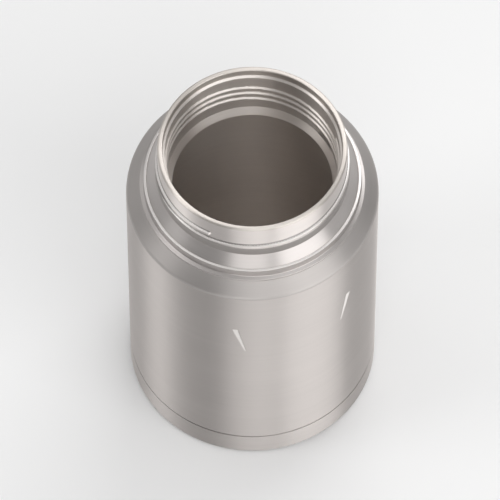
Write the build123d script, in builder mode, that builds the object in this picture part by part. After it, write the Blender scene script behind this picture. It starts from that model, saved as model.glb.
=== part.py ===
"""Wide-mouth insulated food jar, without its stopper and lid.

A double-walled steel vessel: an outer shell and a food liner, welded together at the rim, with
a vacuum between them.  A pressed bottom closes the vacuum, and a base cup with a rubber foot
covers that bottom.  Millimetres, +Z up, the origin on the table at the jar's axis.
"""

from build123d import *
import os
from math import cos, dist, radians, sin, tan

os.makedirs("parts", exist_ok=True)

# ---------------------------------------------------------------- outer shell
jar_height = 159.4          # table to the top of the rim
body_radius = 50.0          # outside of the straight body
shell_wall = 0.5            # sheet of the outer shell
seam_height = 13.5          # table to the seam between base cup and body
shoulder_rise = 5.4         # lower cone, shoulder edge to the ledge's foot
shoulder_bend = 3.0         # bend radius of the shoulder edge
ledge_stand = 0.75          # low upright edge, the ledge's foot to its outer rim
ledge_run = 1.6             # narrow sloping ledge, inwards
ledge_rise = 0.6            # the same, in height
step_rise = 3.85            # nearly upright step, ledge to ridge
step_run = 0.05             # how far the step leans in
ridge_run = 0.9             # flat top of the ridge
cone_run = 3.65             # upper cone, ridge to collar, inwards
cone_rise = 5.0             # upper cone, in height
collar_stand = 1.05         # how far the lid's collar stands out from the neck
collar_rise = 4.2           # height of the collar
collar_bevel = 0.9          # height of the slope from collar to neck
neck_space = 1.95           # vacuum between liner and shell in the neck
neck_rise = 11.3            # plain neck, collar to the weld under the rim

# ---------------------------------------------------------------- food liner
liner_wall = 0.5            # sheet of the liner and of its pan
body_space = 4.0            # vacuum between liner and shell in the body
stopper_bore_radius = 34.4  # wall that carries the stopper's thread
stopper_bore_depth = 18.6   # rim to the end of that wall
rim_bore_step = 0.9         # how much wider the mouth is at the very top
rim_bore_depth = 3.4        # depth of that wider ring
rim_bore_bevel = 0.7        # height of the slope under it
rim_lip = 0.8               # how far the rim laps down to its weld on the shell
seal_bore_step = 0.65       # how much narrower the wall is under the thread
seal_bore_bevel = 0.8       # height of the slope to it
seal_cone_depth = 24.9      # rim to the top of the sealing cone
seal_cone_run = 2.0         # sealing cone, inwards
seal_cone_rise = 3.2        # sealing cone, in height
throat_lip = 0.9            # straight lip of the throat
crown_rise = 3.2            # shallow roof of the food space
roof_run = 4.5              # steeper edge of that roof, inwards
roof_rise = 5.8             # the same, in height
pan_height = 10.0           # welded pan that closes the liner
pan_bend = 7.0              # bend radius of the pan
dome_radius = 24.0          # raised middle of the pan
dome_slope = 4.0            # width of the slope round it
dome_rise = 1.6             # how far it is raised

# ---------------------------------------------------------------- vacuum bottom and getter
bottom_wall = 0.6           # sheet of the vacuum bottom
bottom_clear = 1.5          # shell's foot above the floor of the base cup
bottom_flange = 4.0         # height of the welded flange
bottom_bend = 1.8           # bend radius of that flange
well_radius = 4.5           # well for the solder, in the middle
well_slope = 1.0            # width of its slope
well_depth = 1.6            # how far the well is pressed up
pump_hole_radius = 1.0      # hole that the air is drawn out through
solder_height = 0.9         # glass solder over that hole
pan_space = 4.0             # vacuum bottom to liner pan
foil_wall = 0.15            # radiation shield
foil_margin = 3.0           # bare liner above and below the foil sleeve
getter_offset = 27.0        # getter, out from the axis
getter_radius = 4.0
getter_height = 1.6
strap_wall = 0.3            # strap that holds the getter down
strap_width = 3.0
strap_foot = 3.5            # welded foot at each end of the strap

# ---------------------------------------------------------------- base
cup_wall = 0.5              # sheet of the base cup
cup_bend = 1.4              # bend radius at the table edge
foot_radius = 42.0          # rubber foot
foot_thickness = 1.3
foot_stand = 0.5            # how far the foot stands out below the cup
foot_slope = 0.4            # width of the slope round the foot's recess
foot_rounding = 0.2
cushion_margin = 3.0        # foam disc, in from the edge of the foot's recess
cushion_hole_radius = 10.0  # its hole, clear of the solder

# ---------------------------------------------------------------- creases beside the badge place
crease_depth = 0.3
crease_top_arc = 25.0       # middle of the badge place to the crease's top, along the surface
crease_bottom_arc = 20.7    # the same, to its lower end
crease_top_width = 2.2
crease_bottom_width = 0.5
crease_drop = 24.7          # shoulder edge down to their upper ends
crease_length = 17.5

# ---------------------------------------------------------------- bends of the pressed sheets
sharp_bend = 0.2
crisp_bend = 0.4
close_bend = 0.6
round_bend = 0.8
dome_bend = 2.0
roof_bend = 4.0

# ---------------------------------------------------------------- fits
weld_gap = 0.02             # between welded edges
sleeve_gap = 0.05           # between parts pushed into or over each other
foil_gap = 0.1              # between foil and liner
seam_gap = 0.45             # shadow gap above the base cup

# ---------------------------------------------------------------- radii that follow
neck_radius = stopper_bore_radius + liner_wall + neck_space + shell_wall
collar_radius = neck_radius + collar_stand
cone_radius = collar_radius + cone_run
ridge_radius = cone_radius + ridge_run
step_radius = ridge_radius + step_run
ledge_radius = step_radius + ledge_run
sleeve_radius = body_radius - cup_wall - sleeve_gap
rim_bore_radius = stopper_bore_radius + rim_bore_step
seal_bore_radius = stopper_bore_radius - seal_bore_step
throat_radius = seal_bore_radius - seal_cone_run
liner_radius = body_radius - shell_wall - body_space - liner_wall
roof_radius = liner_radius - roof_run
bottom_radius = sleeve_radius - shell_wall - sleeve_gap
recess_radius = foot_radius + sleeve_gap

# ---------------------------------------------------------------- heights that follow
cup_floor_z = foot_stand
shell_foot_z = cup_floor_z + cup_wall + bottom_clear
plate_z = shell_foot_z + bottom_flange
pan_z = plate_z + pan_space
pan_inside_z = pan_z + liner_wall
pan_rim_z = pan_z + pan_height
rim_z = jar_height
weld_z = rim_z - rim_lip
neck_z = weld_z - neck_rise
collar_top_z = neck_z - collar_bevel
collar_z = collar_top_z - collar_rise
ridge_z = collar_z - cone_rise
step_z = ridge_z - step_rise
ledge_z = step_z - ledge_rise
ledge_foot_z = ledge_z - ledge_stand
shoulder_z = ledge_foot_z - shoulder_rise
rim_bore_z = rim_z - rim_bore_depth
stopper_bore_z = rim_z - stopper_bore_depth
seal_cone_z = rim_z - seal_cone_depth
throat_z = seal_cone_z - seal_cone_rise
crown_z = throat_z - throat_lip
roof_z = crown_z - crown_rise
liner_body_z = roof_z - roof_rise


def bend_limit(before, corner, after, radius):
    """The bend radius, or less where the straights beside the corner are too short for it."""
    shortest = min(dist(before, corner), dist(corner, after))
    inward = Vector(*before) - Vector(*corner)
    onward = Vector(*after) - Vector(*corner)
    return min(radius, 0.48 * shortest * tan(radians(inward.get_angle(onward)) / 2))


def pressed_sheet(corners, wall, side):
    """Section of a pressed sheet: a line through (radius, height, bend) corners, one wall thick."""
    points = [(radius, height) for radius, height, bend in corners]
    bends = []
    for i in range(1, len(corners) - 1):
        bends.append(bend_limit(points[i - 1], points[i], points[i + 1], corners[i][2]))
    with BuildLine() as outline:
        visible_line = FilletPolyline(*points, radius=bends)
        offset(visible_line, amount=wall, side=side)
    make_face(outline.edges())


# ---------------------------------------------------------------- outer shell
with BuildPart() as outer_shell:
    with BuildSketch(Plane.XZ):
        pressed_sheet(
            [
                (sleeve_radius, shell_foot_z, 0),
                (sleeve_radius, seam_height, 0),
                (body_radius, seam_height, 0),
                (body_radius, shoulder_z, shoulder_bend),
                (ledge_radius, ledge_foot_z, crisp_bend),
                (ledge_radius, ledge_z, close_bend),
                (step_radius, step_z, crisp_bend),
                (ridge_radius, ridge_z, close_bend),
                (cone_radius, ridge_z, sharp_bend),
                (collar_radius, collar_z, crisp_bend),
                (collar_radius, collar_top_z, sharp_bend),
                (neck_radius, neck_z, crisp_bend),
                (neck_radius, weld_z, 0),
            ],
            shell_wall,
            Side.LEFT,
        )
    revolve(axis=Axis.Z)
    # The two creases lean towards each other and narrow downwards.
    crease_middle_arc = (crease_top_arc + crease_bottom_arc) / 2
    crease_lean = (crease_top_arc - crease_bottom_arc) / 2
    for hand in (-1, 1):
        turn = hand * crease_middle_arc / body_radius
        crease_face = Plane(
            origin=(
                body_radius * sin(turn),
                -body_radius * cos(turn),
                shoulder_z - crease_drop - crease_length / 2,
            ),
            x_dir=(cos(turn), sin(turn), 0),
            z_dir=(sin(turn), -cos(turn), 0),
        )
        with BuildSketch(crease_face):
            Polygon(
                (hand * crease_lean - crease_top_width / 2, crease_length / 2),
                (-hand * crease_lean - crease_bottom_width / 2, -crease_length / 2),
                (-hand * crease_lean + crease_bottom_width / 2, -crease_length / 2),
                (hand * crease_lean + crease_top_width / 2, crease_length / 2),
                align=None,
            )
        extrude(amount=-crease_depth, mode=Mode.SUBTRACT)

# ---------------------------------------------------------------- food liner, open below
with BuildPart() as food_liner:
    with BuildSketch(Plane.XZ):
        pressed_sheet(
            [
                (neck_radius, weld_z + weld_gap, 0),
                (neck_radius, rim_z, crisp_bend),
                (rim_bore_radius, rim_z, close_bend),
                (rim_bore_radius, rim_bore_z, crisp_bend),
                (stopper_bore_radius, rim_bore_z - rim_bore_bevel, crisp_bend),
                (stopper_bore_radius, stopper_bore_z, round_bend),
                (seal_bore_radius, stopper_bore_z - seal_bore_bevel, round_bend),
                (seal_bore_radius, seal_cone_z, close_bend),
                (throat_radius, throat_z, close_bend),
                (throat_radius, crown_z, close_bend),
                (roof_radius, roof_z, roof_bend),
                (liner_radius, liner_body_z, roof_bend),
                (liner_radius, pan_rim_z, 0),
            ],
            liner_wall,
            Side.LEFT,
        )
    revolve(axis=Axis.Z)

# ---------------------------------------------------------------- pan welded under the liner
with BuildPart() as liner_pan:
    with BuildSketch(Plane.XZ):
        pressed_sheet(
            [
                (0, pan_inside_z + dome_rise, 0),
                (dome_radius, pan_inside_z + dome_rise, dome_bend),
                (dome_radius + dome_slope, pan_inside_z, dome_bend),
                (liner_radius, pan_inside_z, pan_bend),
                (liner_radius, pan_rim_z - weld_gap, 0),
            ],
            liner_wall,
            Side.RIGHT,
        )
    revolve(axis=Axis.Z)

# ---------------------------------------------------------------- radiation shield
foil_radius = liner_radius + liner_wall + foil_gap
with BuildPart() as foil_sleeve:
    with BuildSketch(Plane.XY.offset(pan_rim_z + foil_margin)):
        Circle(foil_radius + foil_wall)
        Circle(foil_radius, mode=Mode.SUBTRACT)
    extrude(amount=liner_body_z - pan_rim_z - 2 * foil_margin)

with BuildPart() as foil_disc:
    with BuildSketch(Plane.XY.offset(pan_z - foil_gap)):
        Circle(liner_radius - pan_bend)
    extrude(amount=-foil_wall)

# ---------------------------------------------------------------- bottom that closes the vacuum
with BuildPart() as vacuum_bottom:
    with BuildSketch(Plane.XZ):
        pressed_sheet(
            [
                (0, plate_z + well_depth, 0),
                (well_radius, plate_z + well_depth, close_bend),
                (well_radius + well_slope, plate_z, close_bend),
                (bottom_radius, plate_z, bottom_bend),
                (bottom_radius, shell_foot_z, 0),
            ],
            bottom_wall,
            Side.RIGHT,
        )
    revolve(axis=Axis.Z)
    with Locations((0, 0, plate_z + well_depth)):
        Hole(radius=pump_hole_radius, depth=bottom_wall)

# The solder fills the pump hole from below and spreads over the roof of the well.
well_roof_z = plate_z + well_depth - bottom_wall
with BuildPart() as solder_plug:
    with BuildSketch(Plane.XY.offset(well_roof_z - weld_gap)):
        Circle(well_radius - 2 * bottom_wall)
    extrude(amount=-solder_height)
    fillet(solder_plug.faces().sort_by(Axis.Z)[0].edges(), radius=0.45 * solder_height)
    with BuildSketch(Plane.XY.offset(well_roof_z - weld_gap)):
        Circle(pump_hole_radius - weld_gap)
    extrude(amount=bottom_wall)

# ---------------------------------------------------------------- getter and its strap
getter_floor_z = plate_z + weld_gap
with BuildPart() as getter_pill:
    with BuildSketch(Plane((getter_offset, 0, getter_floor_z))):
        Circle(getter_radius)
    extrude(amount=getter_height)
    fillet(getter_pill.edges(), radius=0.25 * getter_height)

strap_plane = Plane(origin=(getter_offset, 0, getter_floor_z), x_dir=(0, 1, 0), z_dir=(1, 0, 0))
strap_reach = getter_radius + sleeve_gap
strap_level = getter_height + sleeve_gap
with BuildPart() as getter_strap:
    with BuildSketch(strap_plane):
        pressed_sheet(
            [
                (-strap_reach - strap_foot, 0, 0),
                (-strap_reach - strap_wall, 0, 0),
                (-strap_reach - strap_wall, strap_level, 0),
                (strap_reach + strap_wall, strap_level, 0),
                (strap_reach + strap_wall, 0, 0),
                (strap_reach + strap_foot, 0, 0),
            ],
            strap_wall,
            Side.LEFT,
        )
    extrude(amount=strap_width / 2, both=True)

# ---------------------------------------------------------------- base cup over the bottom
with BuildPart() as base_cup:
    with BuildSketch(Plane.XZ):
        pressed_sheet(
            [
                (0, foot_thickness, 0),
                (recess_radius, foot_thickness, sharp_bend),
                (recess_radius + foot_slope, cup_floor_z, sharp_bend),
                (body_radius, cup_floor_z, cup_bend),
                (body_radius, seam_height - seam_gap, 0),
            ],
            cup_wall,
            Side.LEFT,
        )
    revolve(axis=Axis.Z)

cushion_floor_z = foot_thickness + cup_wall + sleeve_gap
cushion_top_z = plate_z - bottom_wall - sleeve_gap
with BuildPart() as base_cushion:
    with BuildSketch(Plane.XY.offset(cushion_floor_z)):
        Circle(recess_radius - cushion_margin)
        Circle(cushion_hole_radius, mode=Mode.SUBTRACT)
    extrude(amount=cushion_top_z - cushion_floor_z)

with BuildPart() as foot_pad:
    with BuildSketch(Plane.XY):
        Circle(foot_radius)
    extrude(amount=foot_thickness)
    fillet(foot_pad.edges(), radius=foot_rounding)

# ---------------------------------------------------------------- labels and files
pieces = {
    "outer_shell": outer_shell,
    "food_liner": food_liner,
    "liner_pan": liner_pan,
    "foil_sleeve": foil_sleeve,
    "foil_disc": foil_disc,
    "vacuum_bottom": vacuum_bottom,
    "solder_plug": solder_plug,
    "getter_pill": getter_pill,
    "getter_strap": getter_strap,
    "base_cup": base_cup,
    "base_cushion": base_cushion,
    "foot_pad": foot_pad,
}
for name, piece in pieces.items():
    piece.part.label = name
    export_step(piece.part, f"parts/{name}.step")
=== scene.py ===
"""Wide-mouth insulated food jar, without its stopper and lid: looks, light and camera.

The sheet-metal shells are surfaces turned about the jar's axis.  Angles are measured about
that axis from the front (-Y), where the bare badge place is, towards +X.
"""

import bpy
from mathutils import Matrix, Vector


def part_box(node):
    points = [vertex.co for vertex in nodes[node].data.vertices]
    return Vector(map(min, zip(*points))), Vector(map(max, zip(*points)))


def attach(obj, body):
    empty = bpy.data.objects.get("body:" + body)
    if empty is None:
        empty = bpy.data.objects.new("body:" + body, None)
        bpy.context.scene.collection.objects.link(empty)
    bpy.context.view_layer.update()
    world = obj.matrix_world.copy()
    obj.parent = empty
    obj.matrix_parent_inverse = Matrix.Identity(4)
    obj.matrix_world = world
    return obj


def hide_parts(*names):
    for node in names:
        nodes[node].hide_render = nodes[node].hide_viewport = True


bl_info = {
    "name": "Insulated food jar",
    "version": (1, 0, 0),
    "blender": (4, 5, 0),
    "location": "View3D > Sidebar > Food jar",
    "description": "Steel shells, mouth threads, base and studio of an insulated food jar",
    "category": "Object",
}

from math import cos, pi, radians, sin

import bpy
import numpy as np
from bpy.props import FloatProperty, FloatVectorProperty, IntProperty, PointerProperty
from mathutils import Vector

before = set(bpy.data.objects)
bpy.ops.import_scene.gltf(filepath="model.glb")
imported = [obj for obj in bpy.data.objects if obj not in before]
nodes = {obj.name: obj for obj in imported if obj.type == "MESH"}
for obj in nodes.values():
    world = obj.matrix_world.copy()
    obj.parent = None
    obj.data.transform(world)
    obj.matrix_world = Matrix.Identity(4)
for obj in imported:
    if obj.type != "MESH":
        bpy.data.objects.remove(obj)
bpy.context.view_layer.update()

MM = 0.001
ALMOST = 1e-9


# ---------------------------------------------------------------- sizes and colours
def length(name, description, millimetres):
    """A length that the user can change, given here in millimetres."""
    return FloatProperty(
        name=name, description=description, default=millimetres * MM, unit="LENGTH", precision=5
    )


def angle(name, description, degrees):
    """An angle that the user can change, given here in degrees."""
    return FloatProperty(
        name=name, description=description, default=radians(degrees), subtype="ANGLE"
    )


def colour(name, description, value):
    """A linear colour that the user can change."""
    return FloatVectorProperty(
        name=name, description=description, default=value, subtype="COLOR", min=0, max=1
    )


def share(name, description, value):
    """A number from 0 to 1 that the user can change."""
    return FloatProperty(name=name, description=description, default=value, min=0, max=1)


shell_low, shell_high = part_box("outer_shell")
liner_low, liner_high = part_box("food_liner")
cup_low, cup_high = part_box("base_cup")
pan_low, pan_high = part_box("liner_pan")
foot_low, foot_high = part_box("foot_pad")


class ShellSizes(bpy.types.PropertyGroup):
    """Sizes of the outer shell, from its foot to the weld at the rim"""

    body_radius: length("Body radius", "Outside of the straight body", shell_high.x / MM)
    weld_height: length("Weld height", "Table to the weld at the rim", shell_high.z / MM)
    foot_height: length("Foot of the shell", "Table to its lower edge", shell_low.z / MM)
    wall: length("Sheet", "Thickness of the sheet", 0.5)
    seam_height: length("Seam height", "Table to the seam above the base cup", 13.72)
    sleeve_radius: length("Sleeve radius", "Part of the shell inside the base cup", 49.45)
    shoulder_height: length("Shoulder height", "Upper edge of the straight body", 126.6)
    shoulder_bend: length("Shoulder bend", "Bend radius of the shoulder edge", 3.0)
    ledge_radius: length("Ledge radius", "Outer edge of the narrow ledge", 44.6)
    ledge_foot: length("Ledge foot", "Table to the low upright edge under the ledge", 132.0)
    ledge_height: length("Ledge height", "Table to the ledge's outer edge", 132.75)
    step_radius: length("Step radius", "Foot of the step", 43.0)
    step_height: length("Step height", "Table to the foot of the step", 133.35)
    ridge_radius: length("Ridge radius", "Outer edge of the ridge", 42.95)
    ridge_height: length("Ridge height", "Table to the ridge", 137.2)
    ridge_drop: length("Ridge drop", "Fall of the ridge's top to its outer edge", 0.24)
    ridge_groove: length("Ridge groove", "Crease between the ridge and the upper cone", 0.15)
    cone_radius: length("Cone radius", "Foot of the upper cone", 42.05)
    collar_radius: length("Collar radius", "Collar that centres the lid", 38.4)
    collar_height: length("Collar height", "Lower edge of the collar", 142.2)
    collar_top: length("Collar top", "Upper edge of the collar", 146.4)
    neck_radius: length("Neck radius", "Root of the lid's thread", 37.35)
    neck_height: length("Neck height", "Lower end of the neck", 147.3)


class CreaseSizes(bpy.types.PropertyGroup):
    """Sizes of the two pressed creases beside the badge place"""

    slope: share("Slope", "Depth of a crease as a share of its width", 0.22)
    top: length("Top", "Table to the upper end", 101.9)
    bottom: length("Bottom", "Table to the lower end", 84.4)
    top_arc: length("Top arc", "Middle of the badge place to the upper end", 25.0)
    bottom_arc: length("Bottom arc", "Middle of the badge place to the lower end", 20.7)
    top_width: length("Top width", "Width at the upper end", 2.4)
    bottom_width: length("Bottom width", "Width at the lower end", 0.6)


class ThreadSizes(bpy.types.PropertyGroup):
    """Sizes of the lid's thread outside the neck and the stopper's thread in the mouth"""

    starts: IntProperty(name="Starts", description="Threads side by side", default=2, min=1)
    spacing: length("Spacing", "From one ridge to the next, along the axis", 4.0)
    lid_ridge: length("Lid ridge", "How far the lid's thread stands out", 0.9)
    lid_width: length("Lid ridge width", "Width of that ridge at half its height", 1.35)
    lid_flank: length("Lid ridge flank", "Height of each of its sides", 0.34)
    lid_groove: length("Lid groove", "Depth and width of the groove above a ridge", 0.25)
    lid_end: length("Lid thread end", "Height of that ridge at its cut end", 150.7)
    lid_turn: angle("Lid thread turn", "Where the first cut end is", -46.3)
    stopper_ridge: length("Stopper ridge", "How far the stopper's thread stands in", 0.75)
    stopper_width: length("Stopper ridge width", "Width of that ridge at half its height", 1.8)
    stopper_flank: length("Stopper ridge flank", "Height of each of its sides", 0.8)
    stopper_end: length("Stopper thread end", "Height of that ridge at its cut end", 150.0)
    stopper_turn: angle("Stopper thread turn", "Where the first cut end is", 86.3)
    stopper_laps: angle("Stopper laps", "Cut end to where the groove under it runs out", 380.0)


class LinerSizes(bpy.types.PropertyGroup):
    """Sizes of the food liner and of the pan that closes it"""

    wall: length("Sheet", "Thickness of the sheet", 0.5)
    rim_height: length("Rim height", "Table to the top of the rim", liner_high.z / MM)
    body_radius: length("Body radius", "Inside of the food space", liner_high.x / MM - 0.5)
    pan_rim: length("Pan rim", "Lower edge of the liner, on its pan", liner_low.z / MM)
    rim_roll: length("Rim roll", "Rounding of the rim's outer edge", 0.5)
    rim_bore: length("Rim bore", "Radius of the mouth at the very top", 35.3)
    rim_bore_end: length("Rim bore end", "Table to the end of that wider ring", 156.0)
    stopper_bore: length("Stopper bore", "Radius of the wall with the stopper's thread", 34.4)
    stopper_bore_top: length("Stopper bore top", "Table to its upper end", 155.3)
    stopper_bore_end: length("Stopper bore end", "Table to its lower end", 138.9)
    seal_bore: length("Seal bore", "Radius of the wall under the thread", 33.75)
    seal_bore_top: length("Seal bore top", "Table to its upper end", 138.2)
    cone_top: length("Cone top", "Table to the top of the sealing cone", 134.5)
    throat: length("Throat", "Radius of the throat", 31.75)
    throat_top: length("Throat top", "Table to the foot of the sealing cone", 131.3)
    throat_end: length("Throat end", "Table to the throat's lower end", 130.4)
    roof_radius: length("Roof radius", "Edge of the food space's shallow roof", 40.5)
    roof_height: length("Roof height", "Table to that edge", 127.2)
    body_top: length("Body top", "Upper end of the food space's straight wall", 121.4)
    pan_bottom: length("Pan underside", "Table to the underside of the pan", pan_low.z / MM)
    pan_bend: length("Pan bend", "Bend radius of the pan", 7.0)
    dome_radius: length("Dome radius", "Raised middle of the pan", 24.0)
    dome_slope: length("Dome slope", "Width of the slope round it", 4.0)
    dome_rise: length("Dome rise", "How far it is raised", 1.6)


class BaseSizes(bpy.types.PropertyGroup):
    """Sizes of the base cup and its rubber foot"""

    cup_wall: length("Cup sheet", "Thickness of the base cup", 0.5)
    cup_radius: length("Cup radius", "Outside of the base cup", cup_high.x / MM)
    cup_top: length("Cup top", "Upper edge of the base cup", cup_high.z / MM)
    cup_bottom: length("Cup bottom", "Table to the base cup", cup_low.z / MM)
    cup_bend: length("Cup bend", "Bend radius at the table edge", 1.4)
    recess_radius: length("Recess radius", "Recess that the foot sits in", 42.05)
    foot_radius: length("Foot radius", "Outside of the rubber foot", foot_high.x / MM)
    foot_thickness: length("Foot thickness", "Thickness of the rubber foot", foot_high.z / MM)
    foot_rounding: length("Foot rounding", "Rounding of its edges", 0.25)
    groove_depth: length("Foot groove depth", "Moulded rings under the foot", 0.35)
    groove_width: length("Foot groove width", "Moulded rings under the foot", 1.2)


class Finishes(bpy.types.PropertyGroup):
    """Colours and surface of each material"""

    shell: colour("Shell steel", "Stainless steel outside", (0.60, 0.565, 0.545))
    shell_roughness: share("Body roughness", "Of the brushed straight body and base", 0.62)
    shell_grain: share("Body grain", "How much the brushing stretches reflections", 1.0)
    # Painted highlight: a lighter steel laid on the creases, on the ridge's top and on each
    # thread's upper flank.
    painted_highlight: colour("Painted highlight steel", "Creases, ridge and thread flank", (0.78, 0.75, 0.73))
    highlight_roughness: share("Highlight roughness", "Of the ridge and thread flank", 0.38)
    # Painted shade: the shoulder and the cone take darkened copies of the shell steel.
    shoulder: colour("Shoulder steel", "Turned shoulder above the body", (0.452, 0.426, 0.412))
    shoulder_roughness: share("Shoulder roughness", "Of the shoulder", 0.44)
    turned: colour("Turned steel", "Ledge, step and upper cone", (0.51, 0.48, 0.465))
    turned_roughness: share("Turned roughness", "Of the ledge, cone and collar", 0.34)
    turned_grain: share("Turned grain", "How much the turning stretches reflections", 0.5)
    # Painted shade: the darkest copy of the steel, also laid along the groove above each thread.
    collar: colour("Collar steel", "Upright collar under the lid's thread", (0.365, 0.344, 0.331))
    # Painted light: the neck takes a lightened copy of the steel.
    neck: colour("Neck steel", "Neck with the lid's thread", (0.75, 0.705, 0.68))
    neck_roughness: share("Neck roughness", "Of the neck", 0.5)
    # Painted light: the liner's steel is lightened to brighten the mouth; the rim keeps a darker
    # copy.
    liner: colour("Liner steel", "Turned stainless steel inside", (0.77, 0.72, 0.68))
    rim: colour("Rim steel", "Turned rim above the mouth's wider ring", (0.63, 0.585, 0.545))
    liner_roughness: share("Liner roughness", "Of the turned steel inside", 0.38)
    liner_grain: share("Liner grain", "How much the turning stretches reflections", 0.9)
    sheet: colour("Sheet steel", "Pressed sheet inside the base", (0.52, 0.52, 0.515))
    foil: colour("Foil", "Radiation shield", (0.80, 0.80, 0.81))
    solder: colour("Solder glass", "Plug of the pump-out hole", (0.07, 0.08, 0.065))
    getter: colour("Getter", "Sintered pill", (0.24, 0.24, 0.25))
    foam: colour("Foam", "Disc in the base cup", (0.085, 0.085, 0.09))
    rubber: colour("Foot rubber", "Foot under the base", (0.045, 0.045, 0.047))


class Studio(bpy.types.PropertyGroup):
    """Floor, lamps and camera"""

    floor: colour("Floor", "Pale floor", (0.90, 0.90, 0.90))
    azimuth: angle("Camera azimuth", "Turn of the camera round the jar", -20.7)
    elevation: angle("Camera elevation", "Camera above the horizon", 60.32)
    distance: length("Camera distance", "Camera to its target", 2911.0)
    target: length("Target height", "Table to the point that the camera looks at", 78.2)
    lens: FloatProperty(name="Lens", description="Focal length in millimetres", default=522.4)
    shift_x: FloatProperty(name="Shift X", description="Camera shift sideways", default=-0.00485)
    shift_y: FloatProperty(name="Shift Y", description="Camera shift upwards", default=0.001)
    world: FloatProperty(name="World", description="Strength of the even light", default=0.34)
    lamp_distance: length("Lamp distance", "From the lamps to the point that they face", 1100)
    lamp_target: length("Lamp target", "Table to the point that the lamps face", 100)
    reach: length("Reach", "Axis to each side of the floor", 6000)


# ---------------------------------------------------------------- sections
def unit(vectors):
    """Each row divided by its length."""
    return vectors / np.linalg.norm(vectors, axis=-1, keepdims=True)


def hidden_corners(corners, wall, side):
    """The other face of a sheet: each (radius, height, bend) corner moved one wall to the side.

    A corner moves along the sum of the two straights' normals, divided by one plus their
    product, so that both straights keep the wall.  A bend on its inside loses one wall of
    radius and a bend on its outside gains one.
    """
    points = np.array([corner[:2] for corner in corners])
    bends = np.array([corner[2] for corner in corners])
    run = unit(np.diff(points, axis=0))
    normal = side * np.stack([-run[:, 1], run[:, 0]], axis=1)
    before = np.vstack([normal[:1], normal])
    after = np.vstack([normal, normal[-1:]])
    mitre = (before + after) / (1 + np.sum(before * after, axis=1, keepdims=True))
    turn = np.zeros(len(points))
    turn[1:-1] = side * (run[:-1, 0] * run[1:, 1] - run[:-1, 1] * run[1:, 0])
    bends = np.where(bends > 0, np.maximum(bends - np.sign(turn) * wall, 0.1 * MM), 0)
    moved = points + wall * mitre
    return [(radius, height, bend) for (radius, height), bend in zip(moved, bends)]


def rounded(corners, closed, arc_steps=6):
    """A line through (radius, height, bend, step) corners: points and their directions.

    At a corner the line leaves the straight at bend / tan(half the angle between the two
    straights), follows a circle of that bend about a centre on the angle's bisector, and joins
    the next straight as far behind the corner.  The straight after a corner gets points one
    step apart, where a step is given.
    """
    points = np.array([corner[:2] for corner in corners])
    ring = np.vstack([points[-1:], points, points[:1]]) if closed else points
    corner, back, on = ring[1:-1], ring[:-2] - ring[1:-1], ring[2:] - ring[1:-1]
    shortest = np.minimum(np.linalg.norm(back, axis=1), np.linalg.norm(on, axis=1))
    back, on = unit(back), unit(on)
    half = 0.5 * np.arccos(np.clip(np.sum(back * on, axis=1), -1, 1))
    bends = np.array([c[2] for c in (corners if closed else corners[1:-1])])
    bend = np.minimum(bends, 0.48 * shortest * np.tan(half))
    straight = half > 0.499 * pi
    bisector = np.where(straight[:, None], 0.0, back + on)
    bisector /= np.maximum(np.linalg.norm(bisector, axis=1, keepdims=True), ALMOST)
    centre = corner + bisector * (bend / np.sin(half))[:, None]
    reach = (bend / np.tan(half))[:, None]
    first, last = corner + back * reach - centre, corner + on * reach - centre
    turn = np.maximum(pi - 2 * half, ALMOST)[:, None, None]
    along = np.linspace(0, 1, arc_steps + 1)[None, :, None]
    spoke = np.sin((1 - along) * turn) * first[:, None] + np.sin(along * turn) * last[:, None]
    arcs = centre[:, None] + spoke / np.sin(turn)
    course = np.sin((1 - along) * turn) * -back[:, None] + np.sin(along * turn) * on[:, None]
    course = unit(course)
    line, direction = [], []
    if not closed:
        line.append(points[:1])
        direction.append(-back[:1])
    for i in range(len(corner)):
        ends = slice(0, 1) if straight[i] or bend[i] <= 0 else slice(None)
        line.append(arcs[i, ends])
        direction.append(np.where(straight[i], on[i], course[i, ends]))
    if not closed:
        line.append(points[-1:])
        direction.append(on[-1:])
    steps = [corner[3] if len(corner) > 3 else 0 for corner in corners]
    count = len(line)
    filled, courses = [], []
    for i in range(count):
        filled.append(line[i])
        courses.append(direction[i])
        if steps[i] and (closed or i < count - 1):
            start, end = line[i][-1], line[(i + 1) % count][0]
            number = int(np.ceil(np.linalg.norm(end - start) / steps[i]))
            part = np.linspace(0, 1, number + 1)[1:-1, None]
            filled.append(start + part * (end - start))
            courses.append(np.repeat(unit(end - start)[None], number - 1, axis=0))
    return np.vstack(filled), np.vstack(courses)


def around(count, *zones):
    """Angles round the axis: count even ones, and finer ones in each (low, high, step) zone."""
    angles = np.linspace(-pi, pi, count, endpoint=False)
    for low, high, step in zones:
        fine = np.arange(low, high, step)
        angles = np.concatenate([angles[(angles < low - step) | (angles > high)], fine])
    return np.sort((angles + pi) % (2 * pi) - pi)


def cut_end_zones(first, starts):
    """Zones of finer angles for around(), one at the cut end of each start of a thread."""
    ends = [(first + 2 * pi * k / starts + pi) % (2 * pi) - pi for k in range(starts)]
    return [(end - 0.03, end + 0.01, 0.004) for end in ends]


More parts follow.
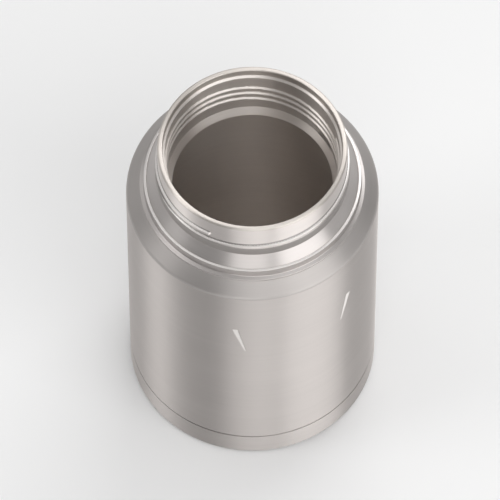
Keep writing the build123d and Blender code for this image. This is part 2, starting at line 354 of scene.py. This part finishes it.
# ---------------------------------------------------------------- surfaces
def turned(name, section, angles, relief=None):
    """Surface turned about the axis from a section, closed all round.

    A point at (radius, height) of the section and an angle lies at (radius sin angle,
    -radius cos angle, height).  relief(radius, height, angle), where given, returns the
    radius with threads and creases.  Each point's normal is the cross product of the
    surface's two slopes, so reflections run evenly over wide and narrow faces.
    """
    points, direction = section
    radius, height = points[:, :1], points[:, 1:]
    turn = angles[None, :]
    polar = radius[0, 0] < ALMOST and radius[-1, 0] < ALMOST

    def place(shift_along, shift_around):
        r = radius + shift_along * direction[:, :1]
        z = height + shift_along * direction[:, 1:]
        a = turn + shift_around
        if relief is not None:
            r = relief(r, z, a)
        r, z, a = np.broadcast_arrays(r, z, a)
        return np.stack([r * np.sin(a), -r * np.cos(a), z], axis=-1)

    small, small_turn = 0.01 * MM, 0.0005
    surface = place(0, 0)
    slope_along = place(small, 0) - place(-small, 0)
    slope_around = place(0, small_turn) - place(0, -small_turn)
    normal = np.cross(slope_along, slope_around)
    rows, columns = surface.shape[:2]
    index = np.arange(rows * columns).reshape(rows, columns)
    if polar:
        index[0], index[-1] = index[0, 0], index[-1, 0]
        normal[0] = np.cross(direction_3d(direction[0]), (0, 1, 0))
        normal[-1] = np.cross(direction_3d(direction[-1]), (0, 1, 0))
    below = index if polar else np.vstack([index, index[:1]])
    a, b = below[:-1], below[1:]
    quads = np.stack([a, b, np.roll(b, -1, 1), np.roll(a, -1, 1)], axis=-1).reshape(-1, 4)
    flat = surface.reshape(-1, 3)
    normal = normal.reshape(-1, 3)
    corner = flat[quads]
    swept = np.cross(corner[:, 2] - corner[:, 0], corner[:, 3] - corner[:, 1])
    volume = np.sum(corner.mean(axis=1) * swept)
    if volume < 0:
        quads, swept = quads[:, ::-1], -swept
    facing = np.zeros_like(flat)
    for k in range(4):
        np.add.at(facing, quads[:, k], swept)
    normal *= np.where(np.sum(normal * facing, axis=1) < 0, -1, 1)[:, None]
    return woven(name, flat, quads, normal)


def direction_3d(direction):
    """A section's direction at the pole, as a direction in the plane of +X and +Z."""
    return np.array([direction[0], 0, direction[1]])


def woven(name, points, quads, normals):
    """Puts a grid's points, faces and normals into a mesh; faces at a pole become triangles."""
    used, quads = np.unique(quads, return_inverse=True)
    quads = quads.reshape(-1, 4)
    points, normals = points[used], unit(normals[used])
    pole_first, pole_second = quads[:, 0] == quads[:, 3], quads[:, 1] == quads[:, 2]
    loops = [
        quads[~(pole_first | pole_second)],
        quads[pole_first][:, [0, 1, 2]],
        quads[pole_second][:, [0, 1, 3]],
    ]
    sizes = np.concatenate([np.full(len(part), part.shape[1]) for part in loops])
    corners = np.concatenate([part.ravel() for part in loops])
    mesh = bpy.data.meshes.new(name)
    mesh.vertices.add(len(points))
    mesh.vertices.foreach_set("co", points.ravel())
    mesh.loops.add(len(corners))
    mesh.loops.foreach_set("vertex_index", corners)
    mesh.polygons.add(len(sizes))
    mesh.polygons.foreach_set("loop_start", np.concatenate([[0], np.cumsum(sizes)[:-1]]))
    mesh.polygons.foreach_set("use_smooth", np.ones(len(sizes), bool))
    mesh.update(calc_edges=True)
    mesh.validate()
    mesh.normals_split_custom_set_from_vertices(normals)
    piece = bpy.data.objects.new(name, mesh)
    bpy.context.scene.collection.objects.link(piece)
    return piece


def finish_piece(piece, material, slot, *replaced):
    """Gives a piece its material, puts it under the root body and hides the nodes that it stands
    for; slot is not used.
    """
    piece.data.materials.append(material)
    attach(piece, "root")
    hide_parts(*replaced)


def face_values(piece, name):
    """The x, y and z of every face's center or normal."""
    values = np.empty(3 * len(piece.data.polygons))
    piece.data.polygons.foreach_get(name, values)
    return values.reshape(-1, 3).T


def set_finishes(piece, finish):
    """Gives each face the material of that number on the piece."""
    piece.data.polygons.foreach_set("material_index", finish.astype(np.int32))


# ---------------------------------------------------------------- relief of the sheets
def ease(value):
    """Smooth step: 3 v^2 - 2 v^3 of a value held between 0 and 1."""
    value = np.clip(value, 0, 1)
    return value * value * (3 - 2 * value)


def larger(first, second, blend):
    """The larger of two values, with the corner between them rounded over a blend's width."""
    gap = np.clip(0.5 + 0.5 * (first - second) / blend, 0, 1)
    return second + (first - second) * gap + blend * gap * (1 - gap)


def thread(height, turn, end_height, end_turn, ridge, width, flank, sizes, laps=None, level=0):
    """Height of a thread's ridges over its root, at each height and angle.

    Right-handed: a ridge's crest drops by starts times spacing for each turn back from its cut
    end.  Across the ridge it is a flat crest with two flanks, each half a slope and half a
    smooth step, and at the cut end it stops within a millimetre of arc.  Where laps is given,
    the groove under a ridge runs out at that angle from the cut end, and the wall below it
    stands out to that level.
    """
    total = np.zeros(np.broadcast(height, turn).shape)
    lead = sizes.starts * sizes.spacing
    for start in range(sizes.starts):
        back = (end_turn + 2 * pi * start / sizes.starts - turn) % (2 * pi)
        cut = ease(back / 0.022)
        for lap in range(2 if laps is None else 3):
            crest = end_height - lead * (back / (2 * pi) + lap)
            part = np.clip((np.abs(height - crest) - (width - flank) / 2) / flank, 0, 1)
            shape = 1 - 0.5 * part - 0.5 * ease(part)
            stand = ridge * shape * (cut if lap == 0 else 1)
            if laps is not None:
                filled = ease((back + 2 * pi * lap - laps) / radians(25) + 1)
                below = np.where(height < crest, 1.0, shape)
                stand = np.maximum(stand, level * filled * below)
            total = np.maximum(total, stand)
    return total


def crease_relief(height, turn, body_radius, sizes):
    """How far the creases are pressed in, at each height and angle of the body.

    Each is a wedge that narrows downwards from its wide upper end.  It steps in at the side
    next to the badge place and rises in a straight ramp to the other side, a share of its
    width deep, and fades out at both ends.
    """
    along = (height - sizes.bottom) / (sizes.top - sizes.bottom)
    middle = sizes.bottom_arc + along * (sizes.top_arc - sizes.bottom_arc)
    width = sizes.bottom_width + along * (sizes.top_width - sizes.bottom_width)
    width = np.maximum(width, 0.2 * MM)
    across = (np.abs(turn) * body_radius - middle) / width + 0.5
    ramp = ease(across / 0.15) * np.clip(1 - across, 0, 1)
    ends = ease(along / 0.12) * ease((1 - along) / 0.03)
    return sizes.slope * width * ramp * ends


# ---------------------------------------------------------------- materials
def material_nodes(name):
    """A new material with a Principled shader, and a helper that adds a node."""
    material = bpy.data.materials.new(name)
    material.use_nodes = True
    tree = material.node_tree
    shader = tree.nodes["Principled BSDF"]

    def add(kind, inputs=None, **settings):
        node = tree.nodes.new(kind)
        for key, value in settings.items():
            setattr(node, key, value)
        for key, value in (inputs or {}).items():
            if isinstance(value, bpy.types.NodeSocket):
                tree.links.new(value, node.inputs[key])
            else:
                node.inputs[key].default_value = value
        return node

    return material, tree, shader, add


def ring_coordinates(add, around_scale, across_scale):
    """Coordinates that change slowly round the axis and fast across the turning marks.

    The fast one is height minus radius, so that the marks run round walls, cones and floors.
    """
    place = add("ShaderNodeTexCoord").outputs["Object"]
    parts = add("ShaderNodeSeparateXYZ", {"Vector": place})
    flat = add("ShaderNodeCombineXYZ", {"X": parts.outputs["X"], "Y": parts.outputs["Y"]})
    radius = add("ShaderNodeVectorMath", {0: flat.outputs[0]}, operation="LENGTH")
    across = add(
        "ShaderNodeMath", {0: parts.outputs["Z"], 1: radius.outputs["Value"]}, operation="SUBTRACT"
    )
    x = add("ShaderNodeMath", {0: parts.outputs["X"], 1: around_scale}, operation="MULTIPLY")
    y = add("ShaderNodeMath", {0: parts.outputs["Y"], 1: around_scale}, operation="MULTIPLY")
    z = add("ShaderNodeMath", {0: across.outputs[0], 1: across_scale}, operation="MULTIPLY")
    joined = add(
        "ShaderNodeCombineXYZ", {"X": x.outputs[0], "Y": y.outputs[0], "Z": z.outputs[0]}
    )
    return joined.outputs[0], place


# Turning marks: scale round the axis and scale across the marks.
FINE_MARKS, BROAD_MARKS = (25.0, 2600.0), (12.0, 420.0)
CLOUD_SCALE = 28.0
TONE_SPREAD, ROUGHNESS_SPREAD = 0.035, 0.03


def turned_steel(name, base, roughness, grain, mark_strength, highlight_colour=None):
    """Steel brushed or turned round the axis: fine rings in bump, roughness and colour.

    Where the last colour is given, it is painted highlight, laid where the mesh's highlight
    attribute is 1.
    """
    material, tree, shader, add = material_nodes(name)
    rings, place = ring_coordinates(add, *FINE_MARKS)
    fine = add("ShaderNodeTexNoise", {"Vector": rings, "Scale": 1.0, "Detail": 3.0})
    broad_rings, _ = ring_coordinates(add, *BROAD_MARKS)
    broad = add("ShaderNodeTexNoise", {"Vector": broad_rings, "Scale": 1.0, "Detail": 2.0})
    cloud = add("ShaderNodeTexNoise", {"Vector": place, "Scale": CLOUD_SCALE, "Detail": 2.0})
    tone = add(
        "ShaderNodeMath", {0: fine.outputs["Fac"], 1: broad.outputs["Fac"]}, operation="ADD"
    )
    tone = add("ShaderNodeMath", {0: tone.outputs[0], 1: cloud.outputs["Fac"]}, operation="ADD")
    shade = add(
        "ShaderNodeMapRange",
        {"Value": tone.outputs[0], "From Min": 1.0, "From Max": 2.0, "To Min": 0.0, "To Max": 1.0},
    )
    dark = [c * (1 - TONE_SPREAD) for c in base]
    light = [min(c * (1 + TONE_SPREAD), 1.0) for c in base]
    mix = add(
        "ShaderNodeMix",
        {0: shade.outputs[0], 6: (*dark, 1.0), 7: (*light, 1.0)},
        data_type="RGBA",
    )
    if highlight_colour is not None:
        crease_highlight = add("ShaderNodeAttribute", attribute_name="crease_highlight")
        mix = add(
            "ShaderNodeMix",
            {0: crease_highlight.outputs["Fac"], 6: mix.outputs[2], 7: (*highlight_colour, 1.0)},
            data_type="RGBA",
        )
    tree.links.new(mix.outputs[2], shader.inputs["Base Color"])
    rough = add(
        "ShaderNodeMapRange",
        {
            "Value": tone.outputs[0],
            "From Min": 1.0,
            "From Max": 2.0,
            "To Min": roughness - ROUGHNESS_SPREAD,
            "To Max": roughness + ROUGHNESS_SPREAD,
        },
    )
    tree.links.new(rough.outputs[0], shader.inputs["Roughness"])
    bump = add(
        "ShaderNodeBump",
        {"Strength": mark_strength, "Distance": 0.02 * MM, "Height": fine.outputs["Fac"]},
    )
    tree.links.new(bump.outputs[0], shader.inputs["Normal"])
    tangent = add("ShaderNodeTangent", direction_type="RADIAL", axis="Z")
    tree.links.new(tangent.outputs[0], shader.inputs["Tangent"])
    shader.inputs["Metallic"].default_value = 1.0
    shader.inputs["Anisotropic"].default_value = grain
    shader.inputs["Anisotropic Rotation"].default_value = 0.25
    return material


def grainy(name, base, roughness, scale, depth, metallic=0.0, contrast=0.12):
    """A fine-grained material: noise in its colour, its roughness and its bump."""
    material, tree, shader, add = material_nodes(name)
    place = add("ShaderNodeTexCoord").outputs["Object"]
    grain = add("ShaderNodeTexNoise", {"Vector": place, "Scale": scale, "Detail": 4.0})
    dark, light = [c * (1 - contrast) for c in base], [min(c * (1 + contrast), 1.0) for c in base]
    mix = add(
        "ShaderNodeMix",
        {0: grain.outputs["Fac"], 6: (*dark, 1.0), 7: (*light, 1.0)},
        data_type="RGBA",
    )
    tree.links.new(mix.outputs[2], shader.inputs["Base Color"])
    rough = add(
        "ShaderNodeMapRange",
        {"Value": grain.outputs["Fac"], "To Min": roughness - 0.08, "To Max": roughness + 0.08},
    )
    tree.links.new(rough.outputs[0], shader.inputs["Roughness"])
    bump = add(
        "ShaderNodeBump", {"Strength": 0.5, "Distance": depth, "Height": grain.outputs["Fac"]}
    )
    tree.links.new(bump.outputs[0], shader.inputs["Normal"])
    shader.inputs["Metallic"].default_value = metallic
    return material


# ---------------------------------------------------------------- pieces
class JAR_OT_outer_shell(bpy.types.Operator):
    """Makes the outer shell with the lid's thread and the two creases"""

    bl_idname = "jar.outer_shell"
    bl_label = "Outer shell"

    def execute(self, context):
        s, t, c = context.scene.jar_shell, context.scene.jar_thread, context.scene.jar_crease
        f = context.scene.jar_finish
        # Corners are (radius, height, bend), and the spacing of the rows after them if fine.
        lower = [
            (s.sleeve_radius, s.foot_height, 0.1 * MM),
            (s.sleeve_radius, s.seam_height, 0.1 * MM),
            (s.body_radius, s.seam_height, 0.15 * MM),
        ]
        upper = [
            (s.body_radius, s.shoulder_height, s.shoulder_bend),
            (s.ledge_radius, s.ledge_foot, 0.35 * MM),
            (s.ledge_radius, s.ledge_height, 0.3 * MM),
            (s.step_radius, s.step_height, 0.4 * MM),
        ]
        ridge = [
            (s.ridge_radius, s.ridge_height, 0.5 * MM),
            (s.cone_radius, s.ridge_height, 0.2 * MM),
        ]
        collar = [
            (s.collar_radius, s.collar_height, 0.4 * MM),
            (s.collar_radius, s.collar_top, 0.2 * MM),
        ]
        neck = [
            (s.neck_radius, s.neck_height, 0.25 * MM),
            (s.neck_radius, s.weld_height, 0.04 * MM),
        ]
        hidden = hidden_corners(lower + upper + ridge + collar + neck, s.wall, 1)
        body_rows = [
            (s.body_radius, c.bottom - 1 * MM, 0, 0.45 * MM),
            (s.body_radius, c.top + 1 * MM, 0),
        ]
        groove = s.cone_radius + 0.12 * MM  # outer side of the crease behind the ridge
        fine_ridge = [
            (s.ridge_radius, s.ridge_height - s.ridge_drop, 0.15 * MM),
            (groove, s.ridge_height, 0.05 * MM),
            (groove - 0.04 * MM, s.ridge_height - s.ridge_groove, 0.04 * MM),
            (s.cone_radius - 0.1 * MM, s.ridge_height - s.ridge_groove, 0.1 * MM),
        ]
        fine_collar = [
            (s.collar_radius, s.collar_height, 0.25 * MM),
            (s.collar_radius, s.collar_top, 0.2 * MM, 0.1 * MM),
        ]
        fine_neck = [
            (s.neck_radius, s.neck_height, 0.2 * MM, 0.04 * MM),
            (s.neck_radius, t.lid_end + t.lid_width, 0, 1.5 * MM),
            neck[1],
        ]
        visible = lower + body_rows + upper + fine_ridge + fine_collar + fine_neck
        section = rounded(visible + hidden[::-1], closed=True)
        crease_low = c.bottom_arc / s.body_radius - 0.02
        crease_high = c.top_arc / s.body_radius + 0.03
        fine_step = 0.25 * MM / s.body_radius
        angles = around(
            200,
            (crease_low, crease_high, fine_step),
            (-crease_high, -crease_low, fine_step),
            *cut_end_zones(t.lid_turn, t.starts),
        )

        def relief(radius, height, turn):
            # The face hidden between the walls stays plain behind the thread.
            wall_line = np.interp(
                height, [s.collar_top, s.neck_height], [s.collar_radius, s.neck_radius]
            )
            on_neck = (height > s.collar_height) & (height < s.weld_height - 1 * MM)
            on_neck = on_neck & (radius > wall_line - 0.5 * s.wall)
            shape = (t.lid_end, t.lid_turn, t.lid_ridge, t.lid_width, t.lid_flank, t)
            ridges = thread(height, turn, *shape)
            raised = larger(radius, s.neck_radius + ridges, 0.06 * MM)
            radius = np.where(on_neck & (ridges > 0.01 * MM), raised, radius)
            # A fine groove follows the root of each ridge's upper flank.
            drop = 0.5 * (t.lid_width + t.lid_flank) + t.lid_groove
            shape = (t.lid_end + drop, t.lid_turn, t.lid_groove, t.lid_groove, t.lid_groove, t)
            grooves = thread(height, turn, *shape)
            on_root = on_neck & (height > s.neck_height) & (ridges < 0.01 * MM)
            radius = np.where(on_root, radius - grooves, radius)
            pressed = crease_relief(height, turn, s.body_radius, c)
            on_body = (height < s.shoulder_height) & (height > s.seam_height)
            return np.where(on_body, radius - pressed, radius)

        piece = turned("shell_body", section, angles, relief)
        place = np.empty(3 * len(piece.data.vertices))
        piece.data.vertices.foreach_get("co", place)
        x, y, z = place.reshape(-1, 3).T
        # The creases get painted highlight: their depth sets how much of the lighter steel is
        # mixed in.
        pressed = crease_relief(z, np.arctan2(x, -y), s.body_radius, c) / (0.06 * MM)
        crease_highlight = piece.data.attributes.new("crease_highlight", "FLOAT", "POINT")
        crease_highlight.data.foreach_set("value", np.clip(pressed, 0, 1).astype(np.float32))
        steel = turned_steel(
            "brushed_shell_steel", f.shell, f.shell_roughness, f.shell_grain, 0.15, f.painted_highlight
        )
        finish_piece(piece, steel, "shell_steel", "outer_shell")
        # Copies of the one shell steel: darkened on the shoulder, cone and collar as painted
        # shade, lightened on the neck as painted light, and the lighter steel of the painted
        # highlight.
        for name, base, roughness, grain in (
            ("turned_shoulder_steel_darkened", f.shoulder, f.shoulder_roughness, f.turned_grain),
            ("turned_cone_steel_darkened", f.turned, f.turned_roughness, f.turned_grain),
            ("turned_collar_steel_darkened", f.collar, f.turned_roughness, f.turned_grain),
            ("brushed_neck_steel_lightened", f.neck, f.neck_roughness, f.shell_grain),
            ("painted_highlight_steel", f.painted_highlight, f.highlight_roughness, 0.0),
        ):
            piece.data.materials.append(turned_steel(name, base, roughness, grain, 0.15))
        # Each finish ends at one of these heights: body, shoulder, cone, collar, then neck.
        zones = [
            s.shoulder_height - 0.4 * MM,
            s.ledge_foot,
            s.collar_height + 0.3 * MM,
            s.collar_top + 0.1 * MM,
        ]
        shade_finish, highlight_finish = 3, 5
        x, y, height = face_values(piece, "center")
        _, _, upward = face_values(piece, "normal")
        finish = np.searchsorted(zones, height)
        # A strip of painted highlight follows each thread's upper flank, and over it a strip of
        # painted shade, in the collar's darkened steel, follows the groove: height over the
        # crest's edge, width and finish.
        strips = (
            (0.08 * MM, 0.3 * MM, highlight_finish),
            (0.47 * MM, 0.48 * MM, shade_finish),
        )
        on_neck = (height > s.collar_top) & (height < s.weld_height - 1 * MM)
        for rise, width, chosen in strips:
            end = t.lid_end + 0.5 * (t.lid_width - t.lid_flank) + rise
            shape = (end, t.lid_turn, 1, width, 0.02 * MM, t)
            inside = thread(height, np.arctan2(x, -y), *shape)
            finish[on_neck & (inside > 0.5)] = chosen
        # The ridge's top, which faces up, gets the painted highlight too.
        on_ridge = np.abs(height - s.ridge_height) < 0.5 * MM
        finish[on_ridge & (upward > 0.8)] = highlight_finish
        set_finishes(piece, finish)
        return {"FINISHED"}


class JAR_OT_food_liner(bpy.types.Operator):
    """Makes the food liner with its rim, the stopper's thread and the sealing cone"""

    bl_idname = "jar.food_liner"
    bl_label = "Food liner"

    def execute(self, context):
        s, t, f = context.scene.jar_liner, context.scene.jar_thread, context.scene.jar_finish
        shell = context.scene.jar_shell
        corners = [
            (shell.neck_radius, shell.weld_height + 0.02 * MM, 0.04 * MM),
            (shell.neck_radius, s.rim_height - s.rim_roll, 0.3 * MM),
            (shell.neck_radius - s.rim_roll, s.rim_height, 1.2 * MM),
            (s.rim_bore, s.rim_height, 0.45 * MM),
            (s.rim_bore, s.rim_bore_end, 0.3 * MM),
            (s.stopper_bore, s.stopper_bore_top, 0.3 * MM, 0.2 * MM),
            (s.stopper_bore, s.stopper_bore_end, 0.3 * MM, 0.2 * MM),
            (s.seal_bore, s.seal_bore_top, 0.3 * MM),
            (s.seal_bore, s.cone_top, 0.4 * MM),
            (s.throat, s.throat_top, 0.5 * MM),
            (s.throat, s.throat_end, 0.6 * MM),
            (s.roof_radius, s.roof_height, 4 * MM),
            (s.body_radius, s.body_top, 4 * MM),
            (s.body_radius, s.pan_rim, 0.1 * MM),
        ]
        hidden = hidden_corners(corners, s.wall, 1)
        section = rounded(corners + hidden[::-1], closed=True)
        angles = around(256, *cut_end_zones(t.stopper_turn, t.starts))

        def relief(radius, height, turn):
            on_bore = (height > s.cone_top) & (height < s.rim_bore_end)
            on_bore = on_bore & (radius < s.stopper_bore + 0.5 * s.wall)
            ridges = thread(
                height,
                turn,
                t.stopper_end,
                t.stopper_turn,
                t.stopper_ridge,
                t.stopper_width,
                t.stopper_flank,
                t,
                t.stopper_laps,
                s.stopper_bore - s.seal_bore,
            )
            raised = -larger(-radius, ridges - s.stopper_bore, 0.08 * MM)
            return np.where(on_bore & (ridges > 0.01 * MM), raised, radius)

        piece = turned("liner_vessel", section, angles, relief)
        steel = turned_steel(
            "turned_liner_steel_lightened", f.liner, f.liner_roughness, f.liner_grain, 0.2
        )
        finish_piece(piece, steel, "liner_steel", "food_liner")
        piece.data.materials.append(
            turned_steel("turned_rim_steel", f.rim, f.liner_roughness, f.liner_grain, 0.2)
        )
        # Faces above the wider ring take the rim's finish, a copy of the steel left darker than
        # the liner's lightened one.
        _, _, height = face_values(piece, "center")
        set_finishes(piece, height > s.rim_bore_end + 0.3 * MM)
        return {"FINISHED"}


class JAR_OT_liner_pan(bpy.types.Operator):
    """Makes the welded pan that closes the food liner"""

    bl_idname = "jar.liner_pan"
    bl_label = "Liner pan"

    def execute(self, context):
        s = context.scene.jar_liner
        floor = s.pan_bottom + s.wall
        corners = [
            (0, floor + s.dome_rise, 0),
            (s.dome_radius, floor + s.dome_rise, 2 * MM),
            (s.dome_radius + s.dome_slope, floor, 2 * MM),
            (s.body_radius, floor, s.pan_bend),
            (s.body_radius, s.pan_rim - 0.02 * MM, 0.1 * MM),
        ]
        hidden = hidden_corners(corners, s.wall, -1)
        section = rounded(corners + hidden[::-1], closed=False, arc_steps=10)
        piece = turned("liner_pan_floor", section, around(192))
        finish_piece(piece, bpy.data.materials["turned_liner_steel_lightened"], "liner_steel", "liner_pan")
        return {"FINISHED"}


class JAR_OT_base_cup(bpy.types.Operator):
    """Makes the base cup below the seam"""

    bl_idname = "jar.base_cup"
    bl_label = "Base cup"

    def execute(self, context):
        s = context.scene.jar_base
        corners = [
            (0, s.foot_thickness, 0),
            (s.recess_radius, s.foot_thickness, 0.2 * MM),
            (s.recess_radius + 0.4 * MM, s.cup_bottom, 0.3 * MM),
            (s.cup_radius, s.cup_bottom, s.cup_bend),
            (s.cup_radius, s.cup_top, 0.12 * MM),
        ]
        hidden = hidden_corners(corners, s.cup_wall, 1)
        section = rounded(corners + hidden[::-1], closed=False, arc_steps=8)
        piece = turned("base_ring", section, around(320))
        finish_piece(piece, bpy.data.materials["brushed_shell_steel"], "shell_steel", "base_cup")
        return {"FINISHED"}


class JAR_OT_foot(bpy.types.Operator):
    """Makes the moulded rubber foot"""

    bl_idname = "jar.foot"
    bl_label = "Rubber foot"

    def execute(self, context):
        s, f = context.scene.jar_base, context.scene.jar_finish
        corners = [(0, 0, 0)]
        for groove in (12 * MM, 24 * MM, 36 * MM):
            corners += [
                (groove - s.groove_width / 2, 0, 0.2 * MM),
                (groove - s.groove_width / 4, s.groove_depth, 0.2 * MM),
                (groove + s.groove_width / 4, s.groove_depth, 0.2 * MM),
                (groove + s.groove_width / 2, 0, 0.2 * MM),
            ]
        corners += [
            (s.foot_radius, 0, s.foot_rounding),
            (s.foot_radius, s.foot_thickness, s.foot_rounding),
            (0, s.foot_thickness, 0),
        ]
        section = rounded(corners, closed=False)
        piece = turned("rubber_foot", section, around(192))
        rubber = grainy("foot_rubber", f.rubber, 0.62, 900.0, 0.05 * MM)
        finish_piece(piece, rubber, "foot_rubber", "foot_pad")
        return {"FINISHED"}


class JAR_OT_hidden_parts(bpy.types.Operator):
    """Gives the parts sealed inside the walls and the base their materials"""

    bl_idname = "jar.hidden_parts"
    bl_label = "Hidden parts"

    def execute(self, context):
        f = context.scene.jar_finish
        sheet = grainy("pressed_sheet_steel", f.sheet, 0.38, 260.0, 0.01 * MM, 1.0, 0.05)
        foil = grainy("bright_foil", f.foil, 0.22, 120.0, 0.25 * MM, 1.0, 0.04)
        solder = grainy("solder_glass", f.solder, 0.35, 500.0, 0.03 * MM)
        getter = grainy("sintered_getter", f.getter, 0.7, 1600.0, 0.04 * MM, 0.6)
        foam = grainy("closed_cell_foam", f.foam, 0.9, 1200.0, 0.2 * MM, 0.0, 0.3)
        for name, material in {
            "vacuum_bottom": sheet,
            "getter_strap": sheet,
            "foil_sleeve": foil,
            "foil_disc": foil,
            "solder_plug": solder,
            "getter_pill": getter,
            "base_cushion": foam,
        }.items():
            nodes[name].data.materials.clear()
            nodes[name].data.materials.append(material)
        return {"FINISHED"}


# ---------------------------------------------------------------- stage
def round_the_jar(azimuth, elevation, distance, target):
    """A point at that distance from the target on the axis; azimuth 0 is in front."""
    return Vector(
        (
            distance * sin(azimuth) * cos(elevation),
            -distance * cos(azimuth) * cos(elevation),
            distance * sin(elevation) + target,
        )
    )


def softbox(name, azimuth, elevation, distance, width, height, radiance, target):
    """An area lamp that faces the jar; it lights it and shows in its steel.

    A lamp of one square metre needs WATTS_FOR_RADIANCE watts for a radiance of 1.
    """
    lamp = bpy.data.lights.new(name, "AREA")
    lamp.shape = "RECTANGLE"
    lamp.size, lamp.size_y = width, height
    lamp.energy = WATTS_FOR_RADIANCE * radiance * width * height
    item = bpy.data.objects.new(name, lamp)
    bpy.context.scene.collection.objects.link(item)
    item.location = round_the_jar(azimuth, elevation, distance, target)
    aim = Vector((0, 0, target)) - item.location
    item.rotation_euler = aim.to_track_quat("-Z", "Y").to_euler()
    item.visible_camera = False
    return item


WATTS_FOR_RADIANCE = 4
# Soft panels: azimuth from the camera's and elevation, in degrees; width and height, in metres;
# radiance, where 1 is a white surface in full light.
PANELS = (
    ("lamp_front", -2, 10, 0.64, 0.70, 1.06),
    ("lamp_right", 44, 10, 0.90, 0.70, 1.56),
    ("lamp_right_side", 86, 14, 0.40, 0.55, 0.30),
    ("lamp_left", -70, 14, 0.40, 0.55, 0.48),
    ("lamp_left_high", -78, 45, 0.36, 0.50, 2.10),
    ("lamp_front_high", 30, 54, 1.00, 0.45, 1.70),
    ("lamp_left_back", -120, 30, 0.50, 0.80, 0.40),
    ("lamp_back", 155, 45, 0.85, 0.50, 2.25),
    ("lamp_top", 180, 75, 1.00, 0.90, 0.56),
)


class JAR_OT_studio(bpy.types.Operator):
    """Makes the pale floor, the soft lamps, the even light and the camera"""

    bl_idname = "jar.studio"
    bl_label = "Studio"

    def execute(self, context):
        s = context.scene.jar_studio
        scene = context.scene
        camera = bpy.data.objects.new("camera", bpy.data.cameras.new("camera"))
        scene.collection.objects.link(camera)
        scene.camera = camera
        camera.location = round_the_jar(s.azimuth, s.elevation, s.distance, s.target)
        aim = Vector((0, 0, s.target)) - camera.location
        camera.rotation_mode = "QUATERNION"
        camera.rotation_quaternion = aim.to_track_quat("-Z", "Y")
        camera.data.lens, camera.data.sensor_width = s.lens, 36.0
        camera.data.shift_x, camera.data.shift_y = s.shift_x, s.shift_y
        camera.data.clip_start, camera.data.clip_end = 0.1, 50.0

        r = s.reach
        mesh = bpy.data.meshes.new("floor")
        mesh.from_pydata([(-r, -r, 0), (r, -r, 0), (r, r, 0), (-r, r, 0)], [], [(0, 1, 2, 3)])
        floor = bpy.data.objects.new("floor", mesh)
        scene.collection.objects.link(floor)
        material, _, shader, _ = material_nodes("pale_floor")
        shader.inputs["Base Color"].default_value = (*s.floor, 1.0)
        shader.inputs["Roughness"].default_value = 0.9
        shader.inputs["Specular IOR Level"].default_value = 0.1
        mesh.materials.append(material)

        for name, azimuth, elevation, *panel in PANELS:
            turn = s.azimuth + radians(azimuth)
            softbox(name, turn, radians(elevation), s.lamp_distance, *panel, s.lamp_target)

        world = bpy.data.worlds.new("studio")
        world.use_nodes = True
        background = world.node_tree.nodes["Background"]
        background.inputs["Color"].default_value = (1.0, 1.0, 1.0, 1.0)
        background.inputs["Strength"].default_value = s.world
        scene.world = world
        scene.view_settings.view_transform = "Standard"
        return {"FINISHED"}


# ---------------------------------------------------------------- panel and registration
PIECES = (
    JAR_OT_outer_shell,
    JAR_OT_food_liner,
    JAR_OT_liner_pan,
    JAR_OT_base_cup,
    JAR_OT_foot,
    JAR_OT_hidden_parts,
    JAR_OT_studio,
)
GROUPS = {
    "jar_shell": ShellSizes,
    "jar_crease": CreaseSizes,
    "jar_thread": ThreadSizes,
    "jar_liner": LinerSizes,
    "jar_base": BaseSizes,
    "jar_finish": Finishes,
    "jar_studio": Studio,
}


class JAR_PT_panel(bpy.types.Panel):
    """Lists the pieces and their sizes"""

    bl_idname = "JAR_PT_panel"
    bl_label = "Food jar"
    bl_space_type = "VIEW_3D"
    bl_region_type = "UI"
    bl_category = "Food jar"

    def draw(self, context):
        for operator in PIECES:
            self.layout.operator(operator.bl_idname)
        for name, group in GROUPS.items():
            box = self.layout.box()
            box.label(text=name.replace("_", " "))
            for key in group.__annotations__:
                box.prop(getattr(context.scene, name), key)


def register():
    for item in (*GROUPS.values(), *PIECES, JAR_PT_panel):
        bpy.utils.register_class(item)
    for name, group in GROUPS.items():
        setattr(bpy.types.Scene, name, PointerProperty(type=group))


def unregister():
    for name in GROUPS:
        delattr(bpy.types.Scene, name)
    for item in reversed((*GROUPS.values(), *PIECES, JAR_PT_panel)):
        bpy.utils.unregister_class(item)


def main():
    register()
    for operator in PIECES:
        group, name = operator.bl_idname.split(".")
        getattr(getattr(bpy.ops, group), name)()


if __name__ == "__main__":
    main()
